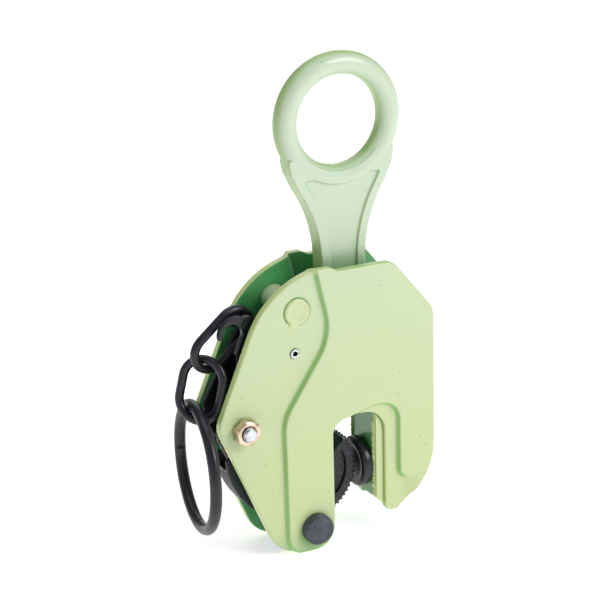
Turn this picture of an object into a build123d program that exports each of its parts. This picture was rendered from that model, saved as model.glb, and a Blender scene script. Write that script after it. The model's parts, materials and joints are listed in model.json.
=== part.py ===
"""Vertical plate lifting clamp for plates up to 20 mm, with lock lever, chain and pull ring.

Millimetres. The origin is the centre of the lifting eye, +Z is up, +X points to the open mouth
side and the two side plates face -Y (front) and +Y (rear).
"""
import os
from math import atan2, cos, degrees, hypot, radians, sin

from build123d import *

# ---------------------------------------------------------------- lifting ring
EYE_R = 25.0             # lifting eye, 50 mm bore
RING_MID_R = 31.1        # centre line of the ring's round section
RING_TUBE_R = 6.5        # radius of that section
NECK_HALF_T = 6.0        # half the thickness of the forged neck
NECK_POCKET = 1.5        # depth of the panel between the neck's ribs
RING_PIN_Z = -112.0      # pin that carries the two links
RING_PIN_R = 6.0
EYE_BOSS_R = 13.0
BOSS_HALF_T = 8.0

# ---------------------------------------------------------------- side plates
PLATE_T = 5.0
PLATE_INNER = 12.0       # inner face of the low level, from the middle plane
STEP = 3.0               # how far the pressed panel stands out
STEP_TAPER = 34.0        # slope of the pressed step, degrees
PLATE_OUTER = PLATE_INNER + PLATE_T
PANEL_INNER = PLATE_INNER + STEP
PANEL_OUTER = PLATE_OUTER + STEP
PLATE_TOP_Z = -78.3
PLATE_RIGHT_X = 48.0
PLATE_BOTTOM_Z = -239.0
MOUTH_LEFT_X = -16.0
MOUTH_RIGHT_X = 18.0
MOUTH_TOP_Z = -164.6
MOUTH_CORNER_R = 9.0
MOUTH_RIGHT_R = 13.0

BOLT_X, BOLT_Z = -68.5, -160.0       # lock lever pivot
BOLT_R = 4.0
CAM_X, CAM_Z = -28.0, -225.5         # cam pivot
CAM_PIN_R = 7.0
STAY_X, STAY_Z = -35.0, -98.2
STAY_R = 7.75
SPRING_PIN_X, SPRING_PIN_Z = -37.0, -121.7
SPRING_PIN_R = 2.6

# ---------------------------------------------------------------- cam and links
CAM_HALF_W = 8.0
CAM_ARC_X, CAM_ARC_Z = -24.3, -198.2     # centre of the toothed arc
CAM_TIP_R = 28.6
CAM_TOOTH_H = 1.6
CAM_TOOTH_PITCH = 6.0                    # degrees along the toothed arc
CAM_OPEN_DEG = 43.0
LINK_PIN_R = 5.0
LINK_PIN_REACH = 27.0                    # cam pivot to link pin
LINK_PIN_DEG = 140.0                     # its direction with the jaws closed
LINK_INNER = 8.4
LINK_T = 3.2
LINK_HALF_W = 9.0
LINK_HOLE_GAP = 1.1                      # play at the cam end of the links
RUNNING = 0.08                           # radial clearance of a running fit
TAIL_PIN_X, TAIL_PIN_Z = -59.0, -201.0   # lower hook of the lock spring

# ---------------------------------------------------------------- jaw block and swivel jaw
BLOCK_LEFT_X = 13.0
JAW_Z = -200.4
JAW_R = 14.5
JAW_FACE_X = 5.6
JAW_SHANK_R = 6.0

# ---------------------------------------------------------------- lock lever, chain, ring
LEVER_IN = 6.5
LEVER_OUT = 9.5
SLEEVE_R = 6.0
HOOK_X, HOOK_Z = -67.7, -108.1
HOOK_R = 10.8
HOOK_EYE_X, HOOK_EYE_Z = -69.9, -107.4   # the hook's opening is off its centre
HOOK_EYE_R = 5.6
CHEEK_HEAD_R = 5.6
FRONT_SETBACK = 3.6      # the front cheek's back edge is cut away by this for the chain
CHAIN_PIN_X, CHAIN_PIN_Z = -61.5, -103.5
CHAIN_PIN_R = 2.5
HORN_X, HORN_Z = -74.0, -169.0           # upper hook of the lock spring
HOOK_PIN_R = 2.0
SPRING_R = 4.0
SPRING_WIRE = 1.4
WIRE_R = 2.15
LINK_LENGTH = 43.0
LINK_WIDTH = 25.0
LINK_SLOPE = 40.0        # upper chain link, degrees below the horizontal
LINK_ROLL = 10.0         # its turn about its own length
LOWER_LENGTH = 38.5
LOWER_WIDTH = 28.0
LOWER_YAW = -47.0        # lower chain link, turn about the vertical
LOWER_LEAN = 14.0
SEAT_DEG = 240.0         # where it sits in the upper link's bend
CHAIN_GAP = 1.1          # play between touching links
PULL_MID_R = 34.5
PULL_BAR_R = 3.15
PULL_YAW = -98.0
PULL_GAP = 1.6           # play between the ring and the link it hangs in

os.makedirs("parts", exist_ok=True)


def save(piece, label):
    """Name a finished piece and write it to its own file."""
    piece.part.label = label
    export_step(piece.part, "parts/" + label + ".step")


def front(offset):
    """Drawing plane facing the front, at a distance in front of the middle plane."""
    return Plane.XZ.offset(offset)


def near(x, z, reach=1.0):
    """Selector test for sketch corners that lie at a place."""
    return lambda v: hypot(v.X - x, v.Y - z) < reach


def dot(x, z, r, mode=Mode.ADD):
    """Circle at a place of the front view."""
    with Locations((x, z)):
        Circle(r, mode=mode)


# ================================================================ lifting ring
def neck_face():
    """Outline of the neck, from the ring's flanks down to the pin eye."""
    with BuildLine() as outline:
        Polyline((0, -18), (31.5, -18), (31.6, -21), (30.4, -26.5), (25.6, -36.5))
        ThreePointArc((25.6, -36.5), (17.0, -54.5), (13.4, -78.0))
        Polyline((13.4, -78.0), (13.0, RING_PIN_Z), (0, RING_PIN_Z), (0, -18))
    make_face(outline.edges())
    mirror(about=Plane.YZ)


def pocket_face():
    """Sunk panel of the neck, a rib's width inside its outline."""
    with BuildLine() as outline:
        Polyline((0, -30), (23.0, -30), (21.0, -34.5))
        ThreePointArc((21.0, -34.5), (12.2, -53.0), (8.2, -78.0))
        Polyline((8.2, -78.0), (8.0, -95.0), (0, -95.0), (0, -30))
    make_face(outline.edges())
    mirror(about=Plane.YZ)


with BuildPart() as lifting_ring:
    with BuildSketch(Plane.XY):
        with Locations((RING_MID_R, 0)):
            Circle(RING_TUBE_R)
        with Locations((EYE_R - 5, 0)):
            Rectangle(10, 20, mode=Mode.SUBTRACT)
    revolve(axis=Axis.Y)
    with BuildSketch(front(-NECK_HALF_T)):
        neck_face()
        Circle(EYE_R + 2.5, mode=Mode.SUBTRACT)
    extrude(amount=2 * NECK_HALF_T)
    for side in (1, -1):
        with BuildSketch(front(side * NECK_HALF_T)):
            pocket_face()
            Circle(RING_MID_R + 3.5, mode=Mode.SUBTRACT)
        extrude(amount=-side * NECK_POCKET, mode=Mode.SUBTRACT)
    with BuildSketch(front(-BOSS_HALF_T)):
        dot(0, RING_PIN_Z, EYE_BOSS_R)
    extrude(amount=2 * BOSS_HALF_T)
    with BuildSketch(front(-BOSS_HALF_T)):
        dot(0, RING_PIN_Z, RING_PIN_R)
    extrude(amount=2 * BOSS_HALF_T, mode=Mode.SUBTRACT)
save(lifting_ring, "lifting_ring")

CLIP_Y = LINK_INNER + LINK_T + 0.3
with BuildPart() as ring_link_pin:
    with BuildSketch(front(-CLIP_Y - 1.8)):
        dot(0, RING_PIN_Z, RING_PIN_R)
    extrude(amount=2 * (CLIP_Y + 1.8))
save(ring_link_pin, "ring_link_pin")

with BuildPart() as ring_pin_clips:
    for start in (CLIP_Y, -CLIP_Y - 1.0):
        with BuildSketch(front(start)):
            dot(0, RING_PIN_Z, RING_PIN_R + 2.6)
            dot(0, RING_PIN_Z, RING_PIN_R, Mode.SUBTRACT)
            with Locations((0, RING_PIN_Z - RING_PIN_R)):
                Rectangle(5, 8, mode=Mode.SUBTRACT)
        extrude(amount=1.0)
save(ring_pin_clips, "ring_pin_clips")


# ================================================================ side plates
def plate_outline():
    """Blank of a side plate: sloping rear edge, sharp rear corner, legs either side of the mouth."""
    with BuildLine() as outline:
        Polyline(
            (-84.2, -157.5), (-53.5, -86.0), (-27.0, -77.4), (-24.0, -75.8), (-16.0, -75.8),
            (-11.0, PLATE_TOP_Z), (22.6, PLATE_TOP_Z), (PLATE_RIGHT_X, -109.8),
            (PLATE_RIGHT_X, -206.5), (24.5, -227.8), (MOUTH_RIGHT_X, -226.0),
            (MOUTH_RIGHT_X, MOUTH_TOP_Z), (MOUTH_LEFT_X, MOUTH_TOP_Z),
            (MOUTH_LEFT_X, PLATE_BOTTOM_Z), (-49.2, PLATE_BOTTOM_Z), close=True)
    make_face(outline.edges())


CORNERS = (
    (-84.2, -157.5, 13.0), (-53.5, -86.0, 52.0), (-27.0, -77.4, 9.0), (-24.0, -75.8, 2.0),
    (-16.0, -75.8, 3.0), (-11.0, PLATE_TOP_Z, 5.0), (22.6, PLATE_TOP_Z, 10.0),
    (PLATE_RIGHT_X, -109.8, 9.0), (PLATE_RIGHT_X, -206.5, 40.0), (24.5, -227.8, 4.5),
    (MOUTH_RIGHT_X, -226.0, 1.6),
    (MOUTH_RIGHT_X, MOUTH_TOP_Z, MOUTH_RIGHT_R), (MOUTH_LEFT_X, MOUTH_TOP_Z, MOUTH_CORNER_R),
    (MOUTH_LEFT_X, PLATE_BOTTOM_Z, 12.0), (-49.2, PLATE_BOTTOM_Z, 20.0),
)


def plate_face():
    """The blank with its corners rounded."""
    plate_outline()
    for x, z, r in CORNERS:
        fillet(vertices().filter_by(near(x, z)), radius=r)


def panel_face():
    """Pressed panel: everything right of the S-shaped step, above the low band beside the mouth."""
    with BuildLine() as outline:
        Polyline((-29.5, -58), (-17.0, -114.0), (-46.6, -158.0), (-45.8, -241.0), (-8, -246),
                 (-8, -166.4), (11.0, -161.6), (24.4, -161.6), (24.4, -209.5), (70, -206), (70, -58),
                 close=True)
    make_face(outline.edges())
    for x, z, r in ((-17.0, -114.0, 30.0), (-46.6, -158.0, 25.0), (-45.8, -241.0, 15.0),
                    (11.0, -161.6, 25.0), (24.4, -161.6, 10.0), (24.4, -209.5, 7.0)):
        fillet(vertices().filter_by(near(x, z)), radius=r)


def plate_holes():
    """Holes that both plates share."""
    dot(STAY_X, STAY_Z, STAY_R)
    dot(SPRING_PIN_X, SPRING_PIN_Z, SPRING_PIN_R)
    dot(BOLT_X, BOLT_Z, BOLT_R)
    dot(CAM_X, CAM_Z, CAM_PIN_R)


with BuildPart() as front_side_plate:
    with BuildSketch(front(PLATE_INNER)):
        plate_face()
    extrude(amount=PLATE_T)
    with BuildSketch(front(PLATE_OUTER)):
        panel_face()
    extrude(amount=STEP, taper=STEP_TAPER)
    with BuildSketch(front(PLATE_INNER)):
        panel_face()
    extrude(amount=STEP, taper=STEP_TAPER, mode=Mode.SUBTRACT)
    with BuildSketch(front(PLATE_INNER)):
        plate_face()
    extrude(amount=PLATE_T + STEP, mode=Mode.INTERSECT)
    with BuildSketch(front(PLATE_INNER)):
        plate_holes()
    extrude(amount=PLATE_T + STEP, mode=Mode.SUBTRACT)
save(front_side_plate, "front_side_plate")

with BuildPart() as rear_side_plate:
    mirror(front_side_plate.part, about=Plane.XZ)
save(rear_side_plate, "rear_side_plate")

# ---------------------------------------------------------------- stay, its welds, the spring pin
WELD_DEPTH = 1.5
STAY_END = PLATE_OUTER - WELD_DEPTH
with BuildPart() as upper_stay:
    with BuildSketch(front(-STAY_END)):
        dot(STAY_X, STAY_Z, STAY_R)
    extrude(amount=2 * STAY_END)
save(upper_stay, "upper_stay")

with BuildPart() as stay_welds:
    for side in (1, -1):
        with BuildSketch(front(side * STAY_END)):
            dot(STAY_X, STAY_Z, STAY_R)
        extrude(amount=side * (WELD_DEPTH + 0.6), taper=12)
save(stay_welds, "stay_welds")

with BuildPart() as spring_pin:
    with BuildSketch(front(-PLATE_OUTER - 0.8)):
        dot(SPRING_PIN_X, SPRING_PIN_Z, SPRING_PIN_R)
        dot(SPRING_PIN_X, SPRING_PIN_Z, SPRING_PIN_R - 1.2, Mode.SUBTRACT)
        with Locations((SPRING_PIN_X + SPRING_PIN_R, SPRING_PIN_Z)):
            Rectangle(3.0, 0.6, mode=Mode.SUBTRACT)
    extrude(amount=2 * (PLATE_OUTER + 0.8))
save(spring_pin, "spring_pin")

# ---------------------------------------------------------------- jaw block
with BuildPart() as jaw_block:
    with BuildSketch(front(-PANEL_INNER)):
        with BuildLine() as outline:
            Polyline((BLOCK_LEFT_X, -152), (40, -152), (44.5, -162), (44.5, -198), (22.5, -224.5),
                     (19, -224.5), (BLOCK_LEFT_X, -219), close=True)
        make_face(outline.edges())
    extrude(amount=2 * PANEL_INNER)
    add(front_side_plate.part, mode=Mode.SUBTRACT)
    add(rear_side_plate.part, mode=Mode.SUBTRACT)
    with BuildSketch(Plane.YZ.offset(BLOCK_LEFT_X)):
        with Locations((0, JAW_Z)):
            Circle(JAW_SHANK_R)
    extrude(amount=40, mode=Mode.SUBTRACT)
    with BuildSketch(Plane.YZ.offset(BLOCK_LEFT_X + 17)):
        with Locations((0, JAW_Z)):
            Circle(JAW_SHANK_R + 4)
    extrude(amount=30, mode=Mode.SUBTRACT)
save(jaw_block, "jaw_block")

# ---------------------------------------------------------------- swivel jaw
with BuildPart() as swivel_jaw:
    with BuildSketch(Plane.XZ):
        with BuildLine() as outline:
            Polyline(
                (JAW_FACE_X, JAW_Z), (JAW_FACE_X, JAW_Z + JAW_R - 1.2),
                (JAW_FACE_X + 1.0, JAW_Z + JAW_R), (BLOCK_LEFT_X - 2.6, JAW_Z + JAW_R),
                (BLOCK_LEFT_X - 0.3, JAW_Z + JAW_R - 2.2), (BLOCK_LEFT_X - 0.3, JAW_Z + JAW_SHANK_R - RUNNING),
                (BLOCK_LEFT_X + 20, JAW_Z + JAW_SHANK_R - RUNNING), (BLOCK_LEFT_X + 20, JAW_Z), close=True)
        make_face(outline.edges())
    revolve(axis=Axis((0, 0, JAW_Z), (1, 0, 0)))
    with BuildSketch(Plane.YZ.offset(JAW_FACE_X)):
        with Locations((0, JAW_Z)):
            for r in (4.0, 7.0, 10.0, 13.0):
                Circle(r + 0.5)
                Circle(r - 0.5, mode=Mode.SUBTRACT)
    extrude(amount=0.8, mode=Mode.SUBTRACT)
save(swivel_jaw, "swivel_jaw")

with BuildPart() as jaw_retaining_ring:
    with BuildSketch(Plane.YZ.offset(BLOCK_LEFT_X + 17.3)):
        with Locations((0, JAW_Z)):
            Circle(JAW_SHANK_R + 3.4)
            Circle(JAW_SHANK_R - RUNNING, mode=Mode.SUBTRACT)
        with Locations((0, JAW_Z - JAW_SHANK_R - 2)):
            Rectangle(4, 6, mode=Mode.SUBTRACT)
    extrude(amount=1.2)
save(jaw_retaining_ring, "jaw_retaining_ring")


# ================================================================ cam
def polar(x, z, r, deg):
    """Point at a distance and direction from a centre, in the front view."""
    return (x + r * cos(radians(deg)), z + r * sin(radians(deg)))


CAM_TOP_DEG = 39.0
CAM_LOW_DEG = -60.0
ROOT_R = CAM_TIP_R - CAM_TOOTH_H
LINK_PIN = polar(CAM_X, CAM_Z, LINK_PIN_REACH, LINK_PIN_DEG)


def cam_outline():
    """Toothed sector, hub and the tail that reaches back past the rear edge of the plates."""
    with BuildLine() as outline:
        upper = polar(CAM_ARC_X, CAM_ARC_Z, ROOT_R, CAM_TOP_DEG)
        lower = polar(CAM_ARC_X, CAM_ARC_Z, ROOT_R, CAM_LOW_DEG)
        middle = polar(CAM_ARC_X, CAM_ARC_Z, ROOT_R, (CAM_TOP_DEG + CAM_LOW_DEG) / 2)
        ThreePointArc(upper, middle, lower)
        Polyline(lower, (-16.0, -231.0), (-20.0, -236.5), (-34.5, -236.5), (-58.5, -213.8))
        ThreePointArc((-58.5, -213.8), (-70.6, -199.1), (-75.6, -180.5))
        Polyline((-75.6, -180.5), (-70.0, -177.5), (-62.0, -178.5), (-40.0, -192.0), (-30.0, -194.0),
                 (-13.0, -190.5), upper)
    make_face(outline.edges())


def tooth(deg):
    """Bluntly pointed tooth across the face of the cam."""
    half = CAM_TOOTH_PITCH / 2 - 0.3
    base = ROOT_R - 0.6
    with BuildLine() as outline:
        Polyline(polar(CAM_ARC_X, CAM_ARC_Z, base, deg - half), polar(CAM_ARC_X, CAM_ARC_Z, ROOT_R, deg - half),
                 polar(CAM_ARC_X, CAM_ARC_Z, CAM_TIP_R, deg - 0.5), polar(CAM_ARC_X, CAM_ARC_Z, CAM_TIP_R, deg + 0.5),
                 polar(CAM_ARC_X, CAM_ARC_Z, ROOT_R, deg + half), polar(CAM_ARC_X, CAM_ARC_Z, base, deg + half),
                 close=True)
    make_face(outline.edges())


TOOTH_COUNT = int((CAM_TOP_DEG - CAM_LOW_DEG) / CAM_TOOTH_PITCH)
with BuildPart() as cam:
    with BuildSketch(front(-CAM_HALF_W)):
        cam_outline()
        for i in range(TOOTH_COUNT):
            tooth(CAM_LOW_DEG + CAM_TOOTH_PITCH * (i + 0.75))
        dot(CAM_X, CAM_Z, CAM_PIN_R + RUNNING, Mode.SUBTRACT)
        dot(*LINK_PIN, LINK_PIN_R, Mode.SUBTRACT)
        dot(TAIL_PIN_X, TAIL_PIN_Z, HOOK_PIN_R, Mode.SUBTRACT)
    extrude(amount=2 * CAM_HALF_W)
    with BuildSketch(front(-5.0)):
        with BuildLine() as outline:
            Polyline((-53.9, -206.0), (-63.5, -206.0), (-72.0, -192.0), (-79.0, -178.0), (-79.0, -170.0),
                     (-50.0, -170.0), (-53.9, -196.0), close=True)
        make_face(outline.edges())
    extrude(amount=10.0, mode=Mode.SUBTRACT)
    for side in (1, -1):
        with BuildSketch(front(side * CAM_HALF_W)):
            with BuildLine() as outline:
                inner_up = polar(CAM_ARC_X, CAM_ARC_Z, ROOT_R - 5.0, CAM_TOP_DEG - 12)
                inner_mid = polar(CAM_ARC_X, CAM_ARC_Z, ROOT_R - 5.0, -8)
                inner_low = polar(CAM_ARC_X, CAM_ARC_Z, ROOT_R - 5.0, CAM_LOW_DEG + 16)
                ThreePointArc(inner_up, inner_mid, inner_low)
                Polyline(inner_low, (-24.0, -211.0), (-26.0, -197.0), (-16.0, -194.0), inner_up)
            make_face(outline.edges())
        extrude(amount=-side * 2.0, mode=Mode.SUBTRACT)
save(cam, "cam")

with BuildPart() as cam_link_pin:
    with BuildSketch(front(-PLATE_INNER + 0.3)):
        dot(*LINK_PIN, LINK_PIN_R)
    extrude(amount=2 * (PLATE_INNER - 0.3))
save(cam_link_pin, "cam_link_pin")

with BuildPart() as tail_hook_pin:
    with BuildSketch(front(-CAM_HALF_W)):
        dot(TAIL_PIN_X, TAIL_PIN_Z, HOOK_PIN_R)
    extrude(amount=2 * CAM_HALF_W)
save(tail_hook_pin, "tail_hook_pin")

# ---------------------------------------------------------------- cam pin and what keeps it
PIN_HEAD_R = 8.7
PIN_HEAD_T = 5.0
PIN_TAIL = 9.0
SPLIT_R = 1.5
SPLIT_OUT = 6.0          # split pin from the rear panel
with BuildPart() as cam_pin:
    with BuildSketch(front(PANEL_OUTER)):
        dot(CAM_X, CAM_Z, PIN_HEAD_R)
    extrude(amount=PIN_HEAD_T)
    chamfer(edges().group_by(Axis.Y)[0], length=0.6)
    with BuildSketch(front(-PANEL_OUTER - PIN_TAIL)):
        dot(CAM_X, CAM_Z, CAM_PIN_R)
    extrude(amount=2 * PANEL_OUTER + PIN_TAIL)
    with BuildSketch(Plane.XY.offset(CAM_Z - 10)):
        with Locations((CAM_X, PANEL_OUTER + SPLIT_OUT)):
            Circle(SPLIT_R)
    extrude(amount=20, mode=Mode.SUBTRACT)
save(cam_pin, "cam_pin")

with BuildPart() as cam_pin_washer:
    with BuildSketch(front(-PANEL_OUTER - 2.5)):
        dot(CAM_X, CAM_Z, 11.5)
        dot(CAM_X, CAM_Z, CAM_PIN_R, Mode.SUBTRACT)
    extrude(amount=2.5)
save(cam_pin_washer, "cam_pin_washer")

with BuildPart() as split_pin:
    with BuildSketch(Plane.XY.offset(CAM_Z - 10)):
        with Locations((CAM_X, PANEL_OUTER + SPLIT_OUT)):
            Circle(SPLIT_R)
    extrude(amount=20)
    with BuildSketch(Plane.YZ.offset(CAM_X)):
        with Locations((PANEL_OUTER + SPLIT_OUT, CAM_Z + 12.2)):
            Circle(3.2)
            Circle(1.5, mode=Mode.SUBTRACT)
    extrude(amount=1.0, both=True)
save(split_pin, "split_pin")

SPACER_IN = CAM_HALF_W + 0.2
with BuildPart() as cam_spacers:
    for start in (SPACER_IN, -PANEL_INNER):
        with BuildSketch(front(start)):
            dot(CAM_X, CAM_Z, 10.5)
            dot(CAM_X, CAM_Z, CAM_PIN_R, Mode.SUBTRACT)
        extrude(amount=PANEL_INNER - SPACER_IN)
save(cam_spacers, "cam_spacers")

# ================================================================ links
# The links swing on the ring's pin. The cam's pin travels on an arc and the links' lower holes on a
# straight line, so the hole starts half the arc's rise away from the pin and has play around it.
MID_DEG = LINK_PIN_DEG + CAM_OPEN_DEG / 2
HALF_RISE = LINK_PIN_REACH * (1 - cos(radians(CAM_OPEN_DEG / 2))) / 2
LINK_HOLE = polar(*LINK_PIN, HALF_RISE, MID_DEG)
LINK_DEG = degrees(atan2(LINK_HOLE[1] - RING_PIN_Z, LINK_HOLE[0]))
LINK_SPAN = hypot(LINK_HOLE[0], LINK_HOLE[1] - RING_PIN_Z)


def make_link(start):
    """Flat bar with a round end at each pin."""
    with BuildPart() as link:
        with BuildSketch(front(start)):
            dot(0, RING_PIN_Z, LINK_HALF_W + 1)
            dot(*LINK_HOLE, LINK_HALF_W)
            with Locations(Location((LINK_HOLE[0] / 2, (LINK_HOLE[1] + RING_PIN_Z) / 2), LINK_DEG)):
                Rectangle(LINK_SPAN, 2 * LINK_HALF_W - 3)
            dot(0, RING_PIN_Z, RING_PIN_R + RUNNING, Mode.SUBTRACT)
            dot(*LINK_HOLE, LINK_PIN_R + LINK_HOLE_GAP, Mode.SUBTRACT)
        extrude(amount=LINK_T)
    return link


front_link = make_link(LINK_INNER)
save(front_link, "front_link")
rear_link = make_link(-LINK_INNER - LINK_T)
save(rear_link, "rear_link")


# ================================================================ lock lever
def lever_cheek(setback):
    """Cheek of the lever: small head round the chain's pin, back, boss round the bolt, horn."""
    dot(CHAIN_PIN_X, CHAIN_PIN_Z, CHEEK_HEAD_R)
    dot(BOLT_X, BOLT_Z, 13.5 - setback / 2)
    dot(HORN_X, HORN_Z, 5.0)
    with BuildLine() as outline:
        Polyline((-57.0, -106.0), (-58.5, -163.0), (-72.0, -172.0), (-81.8 + 0.6 * setback, -158.0),
                 (-81.0 + 1.6 * setback, -149.0), (-71.0 + setback, -130.0), (-65.3 + setback / 3, -120.0),
                 close=True)
    make_face(outline.edges())


def front_hook():
    """Open hook that only the front cheek carries."""
    dot(HOOK_X, HOOK_Z, HOOK_R)
    dot(HOOK_EYE_X, HOOK_EYE_Z, HOOK_EYE_R, Mode.SUBTRACT)
    with BuildLine() as outline:
        Polyline((-76.4, -109.5), (-86.0, -108.0), (-80.0, -124.0), (-68.8, -119.3), (-64.6, -109.0),
                 close=True)
    make_face(outline.edges(), mode=Mode.SUBTRACT)


with BuildPart() as lock_lever:
    for start, setback in ((-LEVER_OUT, 0.0), (LEVER_IN, FRONT_SETBACK)):
        with BuildSketch(front(start)):
            lever_cheek(setback)
            if start > 0:
                front_hook()
        extrude(amount=LEVER_OUT - LEVER_IN)
    with BuildSketch(front(-LEVER_IN)):
        with BuildLine() as outline:
            Polyline((-60.6, -121.0), (-57.3, -121.0), (-58.2, -150.0), (-61.2, -150.0), close=True)
        make_face(outline.edges())
    extrude(amount=2 * LEVER_IN)
    with BuildSketch(front(-LEVER_OUT)):
        dot(BOLT_X, BOLT_Z, SLEEVE_R + RUNNING)
        dot(CHAIN_PIN_X, CHAIN_PIN_Z, CHAIN_PIN_R + RUNNING)
        dot(HORN_X, HORN_Z, HOOK_PIN_R)
    extrude(amount=2 * LEVER_OUT, mode=Mode.SUBTRACT)
save(lock_lever, "lock_lever")

with BuildPart() as chain_anchor_pin:
    with BuildSketch(front(-LEVER_OUT)):
        dot(CHAIN_PIN_X, CHAIN_PIN_Z, CHAIN_PIN_R)
    extrude(amount=2 * LEVER_OUT)
save(chain_anchor_pin, "chain_anchor_pin")

with BuildPart() as horn_hook_pin:
    with BuildSketch(front(-LEVER_OUT)):
        dot(HORN_X, HORN_Z, HOOK_PIN_R)
    extrude(amount=2 * LEVER_OUT)
save(horn_hook_pin, "horn_hook_pin")

with BuildPart() as lever_sleeve:
    with BuildSketch(front(-PLATE_INNER)):
        dot(BOLT_X, BOLT_Z, SLEEVE_R)
        dot(BOLT_X, BOLT_Z, BOLT_R, Mode.SUBTRACT)
    extrude(amount=2 * PLATE_INNER)
save(lever_sleeve, "lever_sleeve")

NUT_FLATS = 13.0
NUT_T = 6.5
BOLT_HEAD_T = 5.3
with BuildPart() as lever_bolt:
    with BuildSketch(front(-PLATE_OUTER - 1.6)):
        dot(BOLT_X, BOLT_Z, BOLT_R)
    extrude(amount=2 * PLATE_OUTER + 1.6 + NUT_T + 2.5)
    chamfer(edges().group_by(Axis.Y)[0], length=0.9)
    with BuildSketch(front(-PLATE_OUTER - 1.6 - BOLT_HEAD_T)):
        with Locations((BOLT_X, BOLT_Z)):
            RegularPolygon(NUT_FLATS / 2, 6, major_radius=False)
    extrude(amount=BOLT_HEAD_T)
save(lever_bolt, "lever_bolt")

with BuildPart() as lever_washer:
    with BuildSketch(front(-PLATE_OUTER - 1.6)):
        dot(BOLT_X, BOLT_Z, 8.0)
        dot(BOLT_X, BOLT_Z, BOLT_R, Mode.SUBTRACT)
    extrude(amount=1.6)
save(lever_washer, "lever_washer")

with BuildPart() as lever_nut:
    with BuildSketch(front(PLATE_OUTER)):
        with Locations(Location((BOLT_X, BOLT_Z), 20.0)):
            RegularPolygon(NUT_FLATS / 2, 6, major_radius=False)
        dot(BOLT_X, BOLT_Z, BOLT_R, Mode.SUBTRACT)
    extrude(amount=NUT_T)
save(lever_nut, "lever_nut")

# ---------------------------------------------------------------- lock spring
SPRING_DX = TAIL_PIN_X - HORN_X
SPRING_DZ = TAIL_PIN_Z - HORN_Z
SPRING_SPAN = hypot(SPRING_DX, SPRING_DZ)
EYELET_R = HOOK_PIN_R + 0.35 + SPRING_WIRE / 2
spring_axis = Plane(origin=(HORN_X, 0, HORN_Z), x_dir=(0, 1, 0), z_dir=(SPRING_DX, 0, SPRING_DZ))
with BuildPart() as lock_spring:
    with BuildSketch(spring_axis.offset(EYELET_R)):
        Circle(SPRING_R)
    extrude(amount=SPRING_SPAN - 2 * EYELET_R)
    for x, z in ((HORN_X, HORN_Z), (TAIL_PIN_X, TAIL_PIN_Z)):
        with BuildSketch(front(-SPRING_WIRE / 2)):
            dot(x, z, EYELET_R + SPRING_WIRE / 2)
        extrude(amount=SPRING_WIRE)
        with BuildSketch(front(-SPRING_R)):
            dot(x, z, EYELET_R - SPRING_WIRE / 2)
        extrude(amount=2 * SPRING_R, mode=Mode.SUBTRACT)
save(lock_spring, "lock_spring")


# ================================================================ chain and pull ring
def oval_link(plane, length, width):
    """Closed link of round wire lying in a plane, its length along the plane's Y."""
    bend = width / 2 - WIRE_R
    straight = length / 2 - width / 2
    with BuildPart() as link:
        for end in (1, -1):
            bend_plane = Plane(origin=plane.from_local_coords((0, end * straight, 0)),
                               x_dir=plane.x_dir, z_dir=-end * plane.y_dir)
            with BuildSketch(bend_plane):
                with Locations((bend, 0), (-bend, 0)):
                    Circle(WIRE_R)
            extrude(amount=straight)
            with BuildSketch(bend_plane):
                with Locations((bend, 0)):
                    Circle(WIRE_R)
            revolve(axis=Axis(bend_plane.origin, plane.z_dir), revolution_arc=end * 180)
    return link


link_dir = Vector(-cos(radians(LINK_SLOPE)), 0, -sin(radians(LINK_SLOPE)))
link_side = Vector(-sin(radians(LINK_SLOPE)), 0, cos(radians(LINK_SLOPE))) * cos(radians(LINK_ROLL))
link_side = link_side + Vector(0, -sin(radians(LINK_ROLL)), 0)
chain_pin = Vector(CHAIN_PIN_X, 0, CHAIN_PIN_Z)
link_centre = chain_pin + link_dir * (LINK_LENGTH / 2 - 2 * WIRE_R - CHAIN_PIN_R - CHAIN_GAP)
chain_link_upper = oval_link(
    Plane(origin=link_centre, x_dir=link_side, z_dir=link_side.cross(link_dir)), LINK_LENGTH, LINK_WIDTH)
save(chain_link_upper, "chain_link_upper")

# The lower link hangs in the bend of the upper one, a little up its outer side.
bend_centre = link_centre + link_dir * (LINK_LENGTH - LINK_WIDTH) / 2
seat_reach = LINK_WIDTH / 2 - WIRE_R - 2 * WIRE_R - CHAIN_GAP
seat = bend_centre + Vector(cos(radians(SEAT_DEG)), 0, sin(radians(SEAT_DEG))) * seat_reach
lower_dir = Vector(-sin(radians(LOWER_LEAN)), 0, -cos(radians(LOWER_LEAN)))
lower_side = Vector(cos(radians(LOWER_YAW)), sin(radians(LOWER_YAW)), 0)
lower_side = (lower_side - lower_dir * lower_side.dot(lower_dir)).normalized()
lower_centre = seat + lower_dir * (LOWER_LENGTH / 2 - WIRE_R)
chain_link_lower = oval_link(
    Plane(origin=lower_centre, x_dir=lower_side, z_dir=lower_side.cross(lower_dir)),
    LOWER_LENGTH, LOWER_WIDTH)
save(chain_link_lower, "chain_link_lower")

ring_seat = seat + lower_dir * (LOWER_LENGTH - 2 * WIRE_R)
ring_bar = ring_seat + Vector(0, 0, WIRE_R + PULL_BAR_R + PULL_GAP)
pull_centre = ring_bar - Vector(0, 0, PULL_MID_R)
pull_side = Vector(cos(radians(PULL_YAW)), sin(radians(PULL_YAW)), 0)
pull_normal = pull_side.cross(Vector(0, 0, 1))
with BuildPart() as pull_ring:
    with BuildSketch(Plane(origin=pull_centre, x_dir=(0, 0, 1), z_dir=pull_side)):
        with Locations((PULL_MID_R, 0)):
            Circle(PULL_BAR_R)
    revolve(axis=Axis(pull_centre, pull_normal))
save(pull_ring, "pull_ring")
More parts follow.
